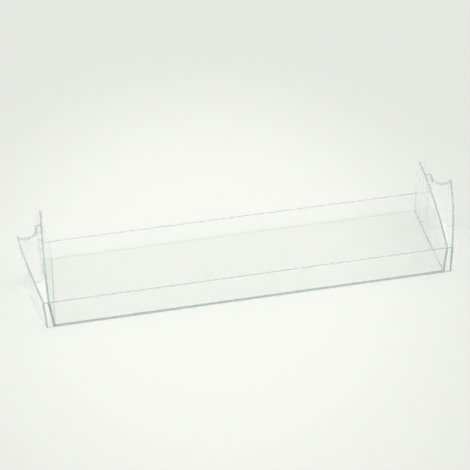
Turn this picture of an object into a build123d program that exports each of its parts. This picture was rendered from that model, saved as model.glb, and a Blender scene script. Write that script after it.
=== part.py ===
# Clear fridge door shelf, moulded in one piece.
#
# A shallow tray with a front rail, a lower back wall and two end walls. Each end carries a cheek: an arched
# top that rises from the rail to the back, over a bowed skirt that is hollow and open below. At the back of
# the cheek a scoop fits the rounded ridge of the door, and behind the scoop a narrow ledge hangs on the
# door's lug.
#
# Sizes are in millimetres. While the shape is built, y is counted from the front foot of the tray towards
# the door, and z from the underside. The right-hand half is built and mirrored, and the finished solid is
# moved so that its box stands centred on the origin.

from build123d import *
import os
from math import cos, hypot, radians, sin, sqrt, tan

# Tray, measured outside at the foot
floor_length = 442.4
floor_depth = 117.0
front_height = 37.0
back_height = 27.0
wall = 2.4
floor_thickness = 2.4
inside_fillet = 1.0

# Lean of the walls, in degrees from upright, which lets the moulding leave its tool
end_draft = 1.5
front_draft = 2.7
back_draft = 1.5
cheek_draft = 1.0

# Arched top of the ends, seen from the side
end_height = 72.0
arch_radius = 280.0
tip_fillet = 2.0

# Rounding of the outer edges
edge_fillet = 0.5
foot_fillet = 0.5
corner_fillet = 0.8

# Cheek in plan, at the foot. Reaches are counted outwards from the tray's end wall, and setbacks forwards
# from its back. The scoop's arc ends at a lip, this many degrees ahead of square to the end wall.
strip_reach = 7.2
skirt_bow = 1.9
scoop_setback = 28.0
scoop_radius = 9.2
lip_angle = 37.5
lip_width = 4.4
ledge_reach = 9.1
ledge_setback = 1.0
ledge_length = 19.6
ledge_fillet = 4.0

# Short cross rib under the cheek's top, ahead of the scoop's centre
rib_lead = 4.5
rib_thickness = 2.2
rib_drop = 12.0

# Room past the solid that cutting shapes reach into, and how near counts as touching
margin = 10.0
touching = 0.01

end_slope = tan(radians(end_draft))
front_slope = tan(radians(front_draft))
back_slope = tan(radians(back_draft))
cheek_slope = tan(radians(cheek_draft))

# Places that follow from the sizes, in plan at the foot
half_length = floor_length / 2
scoop_reach = ledge_reach + scoop_radius
corner_reach = scoop_reach + scoop_radius * cos(radians(lip_angle)) + lip_width
scoop_depth = floor_depth - scoop_setback
corner_depth = scoop_depth - scoop_radius * sin(radians(lip_angle))
rib_depth = scoop_depth - rib_lead
ledge_depth = floor_depth - ledge_setback
closing_depth = ledge_depth - ledge_length
rail_depth = -front_height * front_slope
tip_depth = floor_depth + end_height * back_slope
far_reach = half_length + corner_reach + margin
far_depth = tip_depth + margin
ceiling = end_height + margin

# Circle of the arched top, through the front of the rail and the tip at the back
chord_depth = tip_depth - rail_depth
chord_rise = end_height - front_height
chord = hypot(chord_depth, chord_rise)
chord_to_centre = sqrt(arch_radius**2 - (chord / 2) ** 2)
arch_centre_depth = (rail_depth + tip_depth) / 2 + chord_to_centre * chord_rise / chord
arch_centre_height = (front_height + end_height) / 2 - chord_to_centre * chord_depth / chord


def arch_height(depth, drop=0.0):
    """Height of the arched top at a depth, lowered square to itself by drop."""
    return arch_centre_height + sqrt((arch_radius - drop) ** 2 - (depth - arch_centre_depth) ** 2)


def closed_face(*points):
    """A flat face with straight sides through these points."""
    return make_face(Polyline(*points, close=True))


def long_solid(side):
    """A side view carried from the middle of the shelf past its right-hand end."""
    return extrude(Plane.YZ * side, amount=far_reach)


def deep_solid(front):
    """A front view carried past the front and the back of the shelf."""
    return extrude(Plane.XZ * front, amount=far_depth, both=True)


def between_ends(low, inset):
    """Everything above a height between the tray's leaning ends, drawn in by inset."""
    foot = half_length + low * end_slope - inset
    top = half_length + ceiling * end_slope - inset
    return deep_solid(closed_face((-foot, low), (foot, low), (top, ceiling), (-top, ceiling)))


def tray_block(low, inset):
    """The tray's leaning block above a height, drawn in by inset on all four sides."""
    front_foot = inset - low * front_slope
    front_top = inset - ceiling * front_slope
    back_foot = floor_depth + low * back_slope - inset
    back_top = floor_depth + ceiling * back_slope - inset
    side = closed_face((front_foot, low), (back_foot, low), (back_top, ceiling), (front_top, ceiling))
    return long_solid(side) & between_ends(low, inset)


def side_view():
    """Outline of the ends seen from the side: leaning front, arched top, rounded tip, leaning back."""
    front = Line((0, 0), (rail_depth, front_height))
    middle = (rail_depth + tip_depth) / 2
    top = ThreePointArc(front @ 1, (middle, arch_height(middle)), (tip_depth, end_height))
    rear = Line(top @ 1, (floor_depth, 0))
    face = make_face(front + top + rear + Line(rear @ 1, front @ 0))
    tip = face.vertices().sort_by(Axis.Y)[-1]
    return fillet(tip, tip_fillet)


def below_top(drop):
    """Everything under the arched top lowered by drop, behind the front wall's inner face."""
    front_foot = wall + margin * front_slope
    front_top = wall - front_height * front_slope
    front = Line((front_foot, -margin), (front_top, arch_height(front_top, drop)))
    middle = (front_top + far_depth) / 2
    far_height = arch_height(far_depth, drop)
    top = ThreePointArc(front @ 1, (middle, arch_height(middle, drop)), (far_depth, far_height))
    rear = Line(top @ 1, (far_depth, -margin))
    return long_solid(make_face(front + top + rear + Line(rear @ 1, front @ 0)))


def tray_inside():
    """The space inside the tray, with its foot and its upright corners rounded."""
    space = tray_block(floor_thickness, wall)
    brim = space.edges().group_by(Axis.Z)[-1]
    middle = space.edges().group_by(Axis.X)[0]
    rounded = [edge for edge in space.edges() if edge not in brim and edge not in middle]
    return fillet(rounded, inside_fillet)


def wall_section(foot, lean, height):
    """Section of a low wall that leans back by lean per unit of height, with its two top edges rounded."""
    shift = lean * height
    section = closed_face((foot, 0), (foot + wall, 0), (foot + wall + shift, height), (foot + shift, height))
    return fillet(section.vertices().group_by(Axis.Y)[-1], edge_fillet)


def gap_section(start, end, height):
    """Section of the open space from one depth to another, down to just under a low wall's rounded edges."""
    low = height - 2 * edge_fillet
    return Pos((start + end) / 2, (low + ceiling) / 2) * Rectangle(end - start, ceiling - low)


def gap_above_walls():
    """The space between the ends above the front rail and the lower back wall."""
    middle = floor_depth / 2
    front_wall = wall_section(0, -front_slope, front_height)
    back_wall = wall_section(floor_depth - wall, back_slope, back_height)
    front = gap_section(-margin, middle, front_height) - front_wall
    back = gap_section(middle, far_depth, back_height) - back_wall
    return long_solid(front + back) & between_ends(0, wall)


def skirt_outline(height, inset, rear):
    """Plan of the right-hand cheek before its scoop, at a height, drawn in by inset."""
    inset = inset + height * cheek_slope
    inner = half_length - wall
    strip = half_length + strip_reach - inset
    corner = half_length + corner_reach - inset
    front = Polyline((inner, -margin), (strip, -margin), (strip, 0))
    skirt = SagittaArc((strip, 0), (corner, corner_depth), -skirt_bow)
    back = Polyline((corner, corner_depth), (corner, rear), (inner, rear), (inner, -margin))
    return Pos(0, 0, height) * make_face(front + skirt + back)


def scoop_outline(height, inset):
    """Plan of the scoop and the space behind the right-hand cheek, at a height, grown by inset."""
    inset = inset + height * cheek_slope
    radius = scoop_radius + inset
    centre = half_length + scoop_reach
    lip = corner_depth - inset
    lip_reach = centre + sqrt(radius**2 - (scoop_depth - lip) ** 2)
    inner = Polyline((centre - radius, far_depth), (centre - radius, scoop_depth))
    scoop = ThreePointArc((centre - radius, scoop_depth), (centre, scoop_depth - radius), (lip_reach, lip))
    outer = Polyline((lip_reach, lip), (far_reach, lip), (far_reach, far_depth), (centre - radius, far_depth))
    return Pos(0, 0, height) * make_face(inner + scoop + outer)


def cheek_block(inset, rear):
    """The right-hand cheek and ledge as one solid block, drawn in by inset, from the front to a depth."""
    skirt = loft([skirt_outline(-margin, inset, rear), skirt_outline(ceiling, inset, rear)], ruled=True)
    scoop = loft([scoop_outline(-margin, inset), scoop_outline(ceiling, inset)], ruled=True)
    return skirt - scoop


def upright_edges(block):
    """The edges of a block that run from below the shelf to the ceiling."""
    return block.edges().filter_by(lambda edge: edge.bounding_box().size.Z > ceiling)


def arched_top(shape):
    """The arched top face of a shape."""
    round_faces = shape.faces().filter_by(GeomType.CYLINDER)
    arched = round_faces.filter_by(lambda face: abs(face.radius - arch_radius) < wall / 2)
    return arched.sort_by(SortBy.AREA)[-1]


def cheek_outside():
    """The right-hand cheek and ledge before they are hollowed, with rounded corners and top edge."""
    block = cheek_block(0, ledge_depth)
    ledge_corner = upright_edges(block).group_by(Axis.Y)[-1].sort_by(Axis.X)[-1]
    block = fillet(ledge_corner, ledge_fillet)
    lip_corners = upright_edges(block).sort_by(Axis.X)[-2:]
    block = fillet(lip_corners, corner_fillet) & long_solid(side_view())
    edges = arched_top(block).edges()
    front = edges.group_by(Axis.Y)[0]
    inner = edges.group_by(Axis.X)[0]
    outer = [edge for edge in edges if edge not in front and edge not in inner]
    return fillet(outer, edge_fillet)


def cheek_hollow(tray):
    """The hollow of the right-hand cheek, open below, less the short cross rib."""
    hollow = cheek_block(wall, closing_depth - wall) & below_top(wall)
    rib = Pos(far_reach / 2, rib_depth, ceiling / 2) * Box(far_reach, rib_thickness, ceiling)
    rib = rib - below_top(rib_drop)
    return hollow - tray - rib


def ledge_space(tray):
    """The space under the right-hand ledge, behind the cheek's closing wall."""
    depth = far_depth - closing_depth
    space = Pos(far_reach, closing_depth + depth / 2, 0) * Box(2 * far_reach, depth, 2 * ceiling)
    return (space & below_top(wall)) - tray


def on_end_wall(edge):
    """Whether both ends of an edge lie on the inner face of the right-hand end wall."""
    offsets = [corner.X - half_length + wall - corner.Z * end_slope for corner in edge.vertices()]
    return all(abs(offset) < touching for offset in offsets)


def right_half():
    """The right-hand half of the shelf, from its middle to its end."""
    tray = tray_block(0, 0)
    half = (tray & long_solid(side_view())) + cheek_outside() - tray_inside()
    brim = arched_top(half).edges().filter_by(on_end_wall)
    half = fillet(brim, edge_fillet)
    half = half - [gap_above_walls(), cheek_hollow(tray), ledge_space(tray)]
    feet = half.edges().filter_by(Axis.X).group_by(Axis.Z)[0]
    feet = feet.filter_by(lambda edge: edge.length > half_length / 2)
    return fillet(feet, foot_fillet)


def door_shelf():
    """The whole moulding, standing on its floor with its box centred on the origin."""
    half = right_half()
    shelf = half + mirror(half, about=Plane.YZ)
    return Pos(0, -shelf.bounding_box().center().Y, 0) * shelf


if __name__ == "__main__":
    os.makedirs("parts", exist_ok=True)
    shelf = door_shelf()
    export_step(shelf, "parts/door_shelf.step")
    print("box", shelf.bounding_box().min, shelf.bounding_box().max, "volume", round(shelf.volume))
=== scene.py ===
from math import cos, radians, sin

import bpy
import numpy as np
from mathutils import Matrix, Vector

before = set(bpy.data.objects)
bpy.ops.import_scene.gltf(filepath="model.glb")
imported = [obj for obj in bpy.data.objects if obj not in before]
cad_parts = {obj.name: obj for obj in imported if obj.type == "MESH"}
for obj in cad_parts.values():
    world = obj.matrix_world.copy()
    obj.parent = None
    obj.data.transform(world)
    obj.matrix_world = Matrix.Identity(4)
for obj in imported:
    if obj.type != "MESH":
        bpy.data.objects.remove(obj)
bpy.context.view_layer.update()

bl_info = {
    "name": "Clear fridge door shelf",
    "version": (1, 0, 0),
    "blender": (4, 5, 0),
    "location": "View3D > Sidebar > Door Shelf",
    "description": "Finishes a clear moulded door shelf and sets it on a pale table",
    "category": "Object",
}

# Light runs a long way inside the clear walls before it leaves by an edge, so it may turn this often.
LIGHT_TURNS = 200

WHITE = (1.0, 1.0, 1.0)

# Directions in the frame that the shelf was built in.
FRONT = (0.0, -1.0, 0.0)
BACK = (0.0, 1.0, 0.0)
LEFT = (-1.0, 0.0, 0.0)
RIGHT = (1.0, 0.0, 0.0)
UP = (0.0, 0.0, 1.0)

# Factors that take the upright part out of a direction.
LEVEL = (1.0, 1.0, 0.0)

# Steps of ever finer noise in a pattern.
FINE = 4.0
COARSE = 1.0

# Width of the camera's sensor, in millimetres.
SENSOR_WIDTH = 36.0


class ClearPlasticSettings(bpy.types.PropertyGroup):
    """Finish of the clear moulding."""

    absorbed_colour: bpy.props.FloatVectorProperty(
        name="Colour in depth",
        description="Colour that the plastic tends to where it is seen edge-on",
        subtype="COLOR", size=3, min=0.0, max=1.0, default=(0.20, 0.53, 0.43),
    )
    absorption: bpy.props.FloatProperty(
        name="Depth of colour",
        description="How fast the plastic takes on its colour, per metre",
        min=0.0, default=3.35,
    )
    refraction: bpy.props.FloatProperty(
        name="Refractive index",
        description="Refractive index of the clear plastic",
        min=1.0, max=2.0, default=1.57,
    )
    gloss_least: bpy.props.FloatProperty(
        name="Least roughness",
        description="Roughness of the most polished patches",
        subtype="FACTOR", min=0.0, max=1.0, default=0.08,
    )
    gloss_most: bpy.props.FloatProperty(
        name="Most roughness",
        description="Roughness of the dullest patches",
        subtype="FACTOR", min=0.0, max=1.0, default=0.14,
    )
    bloom_scale: bpy.props.FloatProperty(
        name="Bloom scale",
        description="Patches of duller gloss per metre",
        min=0.0, default=60.0,
    )
    bloom_from: bpy.props.FloatProperty(
        name="Bloom from",
        description="Noise level at which the gloss starts to dull",
        subtype="FACTOR", min=0.0, max=1.0, default=0.35,
    )
    bloom_to: bpy.props.FloatProperty(
        name="Bloom to",
        description="Noise level at which the gloss is dullest",
        subtype="FACTOR", min=0.0, max=1.0, default=0.70,
    )
    flow_scale: bpy.props.FloatProperty(
        name="Flow scale",
        description="Waves left by the flow of the plastic, per metre",
        min=0.0, default=22.0,
    )
    flow_height: bpy.props.FloatProperty(
        name="Flow height",
        description="Height of the waves left by the flow of the plastic",
        subtype="DISTANCE", unit="LENGTH", min=0.0, default=0.00004,
    )


class TableSettings(bpy.types.PropertyGroup):
    """Table under the shelf, with painted light and shade: palest near its middle, darker towards its
    rim.
    """

    table_colour: bpy.props.FloatVectorProperty(
        name="Table",
        description="Colour of the table under the shelf",
        subtype="COLOR", size=3, min=0.0, max=1.0, default=(0.922, 0.932, 0.882),
    )
    # Painted shade: away from its palest place the table is painted this darker colour, standing in for
    # light that falls off towards the sides.
    painted_shade_colour: bpy.props.FloatVectorProperty(
        name="Table rim",
        description="Colour of the table away from the shelf",
        subtype="COLOR", size=3, min=0.0, max=1.0, default=(0.784, 0.794, 0.750),
    )
    painted_shade_distance: bpy.props.FloatProperty(
        name="Rim distance",
        description="Distance along the shelf at which the table has its rim colour",
        subtype="DISTANCE", unit="LENGTH", default=0.4,
    )
    painted_shade_depth: bpy.props.FloatProperty(
        name="Rim depth",
        description="Distance across the shelf at which the table has its rim colour",
        subtype="DISTANCE", unit="LENGTH", default=0.54,
    )
    # Painted light: where the table is painted palest, and how far out it stays so.
    painted_light_middle: bpy.props.FloatProperty(
        name="Pale middle",
        description="Place along the shelf at which the table is palest",
        subtype="DISTANCE", unit="LENGTH", default=-0.04,
    )
    painted_light_share: bpy.props.FloatProperty(
        name="Pale share",
        description="Share of the way to the rim over which the table stays palest",
        subtype="FACTOR", min=0.0, max=1.0, default=0.3,
    )
    table_reach: bpy.props.FloatProperty(
        name="Table reach",
        description="Distance from the middle of the table to its edge",
        subtype="DISTANCE", unit="LENGTH", default=40.0,
    )
    film: bpy.props.FloatProperty(
        name="Air film",
        description="Thickness of the air between the table and the shelf",
        subtype="DISTANCE", unit="LENGTH", default=0.0002,
    )


class LightSettings(bpy.types.PropertyGroup):
    """Light of the room around the shelf."""

    room_light: bpy.props.FloatVectorProperty(
        name="Room light",
        description="Light that comes evenly from all of the room",
        subtype="COLOR", size=3, min=0.0, default=(0.25, 0.25, 0.25),
    )
    front_light: bpy.props.FloatVectorProperty(
        name="Front light",
        description="Light that the bright part in front adds at its middle",
        subtype="COLOR", size=3, min=0.0, default=(0.50, 0.50, 0.50),
    )
    front_height: bpy.props.FloatProperty(
        name="Front height",
        description="How far above the table the middle of the front light stands",
        subtype="ANGLE", unit="ROTATION", default=radians(15.0),
    )
    front_focus: bpy.props.FloatProperty(
        name="Front focus",
        description="How fast the front light fades away from its middle",
        min=0.0, default=4.0,
    )
    back_light: bpy.props.FloatVectorProperty(
        name="Back light",
        description="Light that the bright part behind adds at its middle",
        subtype="COLOR", size=3, min=0.0, default=(0.16, 0.16, 0.16),
    )
    back_height: bpy.props.FloatProperty(
        name="Back height",
        description="How far above the table the middle of the back light stands",
        subtype="ANGLE", unit="ROTATION", default=radians(42.0),
    )
    back_focus: bpy.props.FloatProperty(
        name="Back focus",
        description="How fast the back light fades away from its middle",
        min=0.0, default=16.0,
    )
    left_light: bpy.props.FloatVectorProperty(
        name="Left light",
        description="Light that the bright part at the left adds at its middle",
        subtype="COLOR", size=3, min=0.0, default=(1.77, 1.77, 1.77),
    )
    right_light: bpy.props.FloatVectorProperty(
        name="Right light",
        description="Light that the bright part at the right adds at its middle",
        subtype="COLOR", size=3, min=0.0, default=(1.85, 1.85, 1.85),
    )
    side_height: bpy.props.FloatProperty(
        name="Side height",
        description="How far above the table the middle of each side light stands",
        subtype="ANGLE", unit="ROTATION", default=radians(50.0),
    )
    side_focus: bpy.props.FloatProperty(
        name="Side focus",
        description="How fast each side light fades away from its middle",
        min=0.0, default=6.0,
    )
    horizon_light: bpy.props.FloatVectorProperty(
        name="Horizon light",
        description="Light that the far end of the room adds all round, level with the table",
        subtype="COLOR", size=3, min=0.0, default=(0.42, 0.42, 0.42),
    )
    horizon_focus: bpy.props.FloatProperty(
        name="Horizon focus",
        description="How fast the horizon light fades upwards",
        min=0.0, default=400.0,
    )


class CameraSettings(bpy.types.PropertyGroup):
    """Place of the camera."""

    aim: bpy.props.FloatVectorProperty(
        name="Aim",
        description="Point on the table at the middle of the picture",
        subtype="XYZ", unit="LENGTH", size=3, default=(-0.0010, 0.0577, 0.0),
    )
    distance: bpy.props.FloatProperty(
        name="Distance",
        description="Distance from the camera to its aim",
        subtype="DISTANCE", unit="LENGTH", default=1.31197,
    )
    yaw: bpy.props.FloatProperty(
        name="Yaw",
        description="Turn of the camera about the upright",
        subtype="ANGLE", unit="ROTATION", default=radians(-7.37),
    )
    pitch: bpy.props.FloatProperty(
        name="Pitch",
        description="How far the camera looks down",
        subtype="ANGLE", unit="ROTATION", default=radians(38.96),
    )
    roll: bpy.props.FloatProperty(
        name="Roll",
        description="Turn of the picture about its middle",
        subtype="ANGLE", unit="ROTATION", default=radians(-2.98),
    )
    focal_length: bpy.props.FloatProperty(
        name="Focal length",
        description="Focal length on a 36 mm sensor, in millimetres",
        min=1.0, default=84.13,
    )


def give(tree, socket, value):
    """Gives a socket its value; a socket as a value is joined to it."""
    if isinstance(value, bpy.types.NodeSocket):
        tree.links.new(value, socket)
    else:
        socket.default_value = value


def add_node(tree, kind, **values):
    """Adds a node and gives its sockets their values by name."""
    node = tree.nodes.new(kind)
    for name, value in values.items():
        give(tree, node.inputs[name.replace("_", " ")], value)
    return node


def add_sum(tree, kind, operation, *values):
    """Adds a node that works out an operation, and gives its inputs their values in order."""
    node = tree.nodes.new(kind)
    node.operation = operation
    for socket, value in zip(node.inputs, values):
        give(tree, socket, value)
    return node


def opaque(colour):
    """A colour with full alpha, as a colour socket takes it."""
    return (*colour, 1.0)


def blend(tree, factor, first, second):
    """A colour that goes from the first to the second as the factor goes from 0 to 1."""
    ramp = add_node(tree, "ShaderNodeValToRGB", Fac=factor)
    for stop, colour in zip(ramp.color_ramp.elements, (first, second)):
        stop.color = opaque(colour)
    return ramp.outputs["Color"]


def empty_material(name):
    """A material with an empty node tree, and its output node."""
    material = bpy.data.materials.new(name)
    material.use_nodes = True
    tree = material.node_tree
    tree.nodes.clear()
    return material, tree, tree.nodes.new("ShaderNodeOutputMaterial")


def clear_plastic(settings):
    """Clear plastic, green-blue along its walls, with slight flow waves and patches of dull gloss."""
    material, tree, output = empty_material("clear_plastic_moulded")
    place = tree.nodes.new("ShaderNodeTexCoord").outputs["Object"]
    bloom = add_node(tree, "ShaderNodeTexNoise", Vector=place, Scale=settings.bloom_scale, Detail=FINE)
    gloss = add_node(
        tree, "ShaderNodeMapRange", Value=bloom.outputs["Fac"],
        From_Min=settings.bloom_from, From_Max=settings.bloom_to,
        To_Min=settings.gloss_least, To_Max=settings.gloss_most,
    )
    flow = add_node(tree, "ShaderNodeTexNoise", Vector=place, Scale=settings.flow_scale, Detail=COARSE)
    waves = add_node(
        tree, "ShaderNodeBump", Height=flow.outputs["Fac"], Distance=settings.flow_height, Strength=1.0,
    )
    surface = add_node(
        tree, "ShaderNodeBsdfPrincipled", Base_Color=opaque(WHITE), Transmission_Weight=1.0,
        Roughness=gloss.outputs["Result"], IOR=settings.refraction, Normal=waves.outputs["Normal"],
    )
    depth = add_node(
        tree, "ShaderNodeVolumeAbsorption",
        Color=opaque(settings.absorbed_colour), Density=settings.absorption,
    )
    give(tree, output.inputs["Surface"], surface.outputs["BSDF"])
    give(tree, output.inputs["Volume"], depth.outputs["Volume"])
    return material


def table_with_painted_falloff(settings):
    """Matt pale table that turns to its darker rim colour on an oval around its palest place: painted
    shade for light that falls off away from the middle.
    """
    material, tree, output = empty_material("table_painted_falloff")
    place = tree.nodes.new("ShaderNodeTexCoord").outputs["Object"]
    oval = add_node(
        tree, "ShaderNodeMapping", Vector=place,
        Location=(-settings.painted_light_middle / settings.painted_shade_distance, 0.0, 0.0),
        Scale=(1 / settings.painted_shade_distance, 1 / settings.painted_shade_depth, 1.0),
    )
    share = add_sum(tree, "ShaderNodeVectorMath", "LENGTH", oval.outputs["Vector"])
    # Painted shade: the table darkens smoothly from its palest place to the rim colour.
    fade = add_node(
        tree, "ShaderNodeMapRange", Value=share.outputs["Value"],
        From_Min=settings.painted_light_share, From_Max=1.0,
    )
    fade.interpolation_type = "SMOOTHSTEP"
    colour = blend(tree, fade.outputs["Result"], settings.table_colour, settings.painted_shade_colour)
    surface = add_node(
        tree, "ShaderNodeBsdfPrincipled", Base_Color=colour, Roughness=1.0, Specular_IOR_Level=0.0,
    )
    give(tree, output.inputs["Surface"], surface.outputs["BSDF"])
    return material


def make_table(scene):
    """A flat square table just under the shelf."""
    settings = scene.shelf_table
    corners = np.array([(-1, -1), (1, -1), (1, 1), (-1, 1)], float) * settings.table_reach
    points = np.column_stack([corners, np.full(len(corners), -settings.film)])
    mesh = bpy.data.meshes.new("table")
    mesh.from_pydata(points.tolist(), [], [(0, 1, 2, 3)])
    mesh.materials.append(table_with_painted_falloff(settings))
    table = bpy.data.objects.new("table", mesh)
    scene.collection.objects.link(table)


def glow(tree, nearness, light, focus):
    """Soft light that falls as a power of the nearness to its middle, where the nearness is 1."""
    facing = add_sum(tree, "ShaderNodeMath", "MAXIMUM", nearness.outputs["Value"], 0.0)
    spread = add_sum(tree, "ShaderNodeMath", "POWER", facing.outputs["Value"], focus)
    return add_node(tree, "ShaderNodeBackground", Color=opaque(light), Strength=spread.outputs["Value"])


def bright_part(tree, direction, side, light, height, focus):
    """A soft bright part of the room: its nearness is the cosine of the angle from its middle."""
    middle = Vector(side) * cos(height) + Vector(UP) * sin(height)
    nearness = add_sum(tree, "ShaderNodeVectorMath", "DOT_PRODUCT", direction, middle)
    return glow(tree, nearness, light, focus)


def horizon(tree, direction, light, focus):
    """A pale line all round the room: its nearness is the cosine of the angle from the level."""
    level = add_sum(tree, "ShaderNodeVectorMath", "MULTIPLY", direction, LEVEL)
    nearness = add_sum(tree, "ShaderNodeVectorMath", "LENGTH", level.outputs["Vector"])
    return glow(tree, nearness, light, focus)


def make_light(scene):
    """Soft room light with bright parts in front, behind and on either side, and a pale horizon."""
    settings = scene.shelf_light
    world = bpy.data.worlds.new("room")
    world.use_nodes = True
    tree = world.node_tree
    tree.nodes.clear()
    direction = tree.nodes.new("ShaderNodeTexCoord").outputs["Generated"]
    parts = (
        (FRONT, settings.front_light, settings.front_height, settings.front_focus),
        (BACK, settings.back_light, settings.back_height, settings.back_focus),
        (LEFT, settings.left_light, settings.side_height, settings.side_focus),
        (RIGHT, settings.right_light, settings.side_height, settings.side_focus),
    )
    lights = [bright_part(tree, direction, *part) for part in parts]
    lights.append(horizon(tree, direction, settings.horizon_light, settings.horizon_focus))
    room = add_node(tree, "ShaderNodeBackground", Color=opaque(settings.room_light))
    total = room.outputs["Background"]
    for light in lights:
        both = tree.nodes.new("ShaderNodeAddShader")
        for socket, part in zip(both.inputs, (total, light.outputs["Background"])):
            give(tree, socket, part)
        total = both.outputs["Shader"]
    output = tree.nodes.new("ShaderNodeOutputWorld")
    give(tree, output.inputs["Surface"], total)
    scene.world = world


def make_camera(scene):
    """The camera, turned by yaw and pitch about its aim and by roll about its own axis."""
    settings = scene.shelf_camera
    yaw, pitch, roll = settings.yaw, settings.pitch, settings.roll
    back = Vector((sin(yaw) * cos(pitch), -cos(yaw) * cos(pitch), sin(pitch)))
    level = Vector((cos(yaw), sin(yaw), 0.0))
    upright = back.cross(level)
    across = cos(roll) * level + sin(roll) * upright
    above = cos(roll) * upright - sin(roll) * level
    data = bpy.data.cameras.new("camera")
    data.sensor_width = SENSOR_WIDTH
    data.lens = settings.focal_length
    camera = bpy.data.objects.new("camera", data)
    turn = Matrix((across, above, back)).transposed()
    place = Vector(settings.aim) + back * settings.distance
    camera.matrix_world = Matrix.Translation(place) @ turn.to_4x4()
    scene.collection.objects.link(camera)
    scene.camera = camera


class DOORSHELF_OT_moulding(bpy.types.Operator):
    """Give the moulding its clear finish"""

    bl_idname = "door_shelf.moulding"
    bl_label = "Finish the moulding"

    def execute(self, context):
        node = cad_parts["door_shelf"]
        node.material_slots[0].link = "OBJECT"
        node.material_slots[0].material = clear_plastic(context.scene.clear_plastic)
        return {"FINISHED"}


class DOORSHELF_OT_stage(bpy.types.Operator):
    """Set up the table, the light and the camera"""

    bl_idname = "door_shelf.stage"
    bl_label = "Set the stage"

    def execute(self, context):
        scene = context.scene
        make_table(scene)
        make_light(scene)
        make_camera(scene)
        scene.view_settings.view_transform = "Standard"
        scene.cycles.max_bounces = LIGHT_TURNS
        scene.cycles.transmission_bounces = LIGHT_TURNS
        scene.cycles.glossy_bounces = LIGHT_TURNS
        scene.cycles.blur_glossy = 0.0
        return {"FINISHED"}


class DOORSHELF_PT_panel(bpy.types.Panel):
    """Sizes, colours and steps of the clear door shelf"""

    bl_idname = "DOORSHELF_PT_panel"
    bl_label = "Door Shelf"
    bl_space_type = "VIEW_3D"
    bl_region_type = "UI"
    bl_category = "Door Shelf"

    def draw(self, context):
        for operator, groups in STEPS.items():
            box = self.layout.box()
            for group in (getattr(context.scene, name) for name in groups):
                for name in group.bl_rna.properties.keys():
                    if name not in ("rna_type", "name"):
                        box.prop(group, name)
            box.operator(operator)


CLASSES = (
    ClearPlasticSettings, TableSettings, LightSettings, CameraSettings,
    DOORSHELF_OT_moulding, DOORSHELF_OT_stage, DOORSHELF_PT_panel,
)
GROUPS = {
    "clear_plastic": ClearPlasticSettings,
    "shelf_table": TableSettings,
    "shelf_light": LightSettings,
    "shelf_camera": CameraSettings,
}
STEPS = {
    "door_shelf.moulding": ("clear_plastic",),
    "door_shelf.stage": ("shelf_table", "shelf_light", "shelf_camera"),
}


def register():
    """Register the classes and keep the settings on the scene."""
    for kind in CLASSES:
        bpy.utils.register_class(kind)
    for name, kind in GROUPS.items():
        setattr(bpy.types.Scene, name, bpy.props.PointerProperty(type=kind))


def unregister():
    """Take the settings off the scene and unregister the classes."""
    for name in GROUPS:
        delattr(bpy.types.Scene, name)
    for kind in reversed(CLASSES):
        bpy.utils.unregister_class(kind)


def main():
    """Register, finish the moulding and set the stage."""
    register()
    bpy.ops.door_shelf.moulding()
    bpy.ops.door_shelf.stage()


if __name__ == "__main__":
    main()
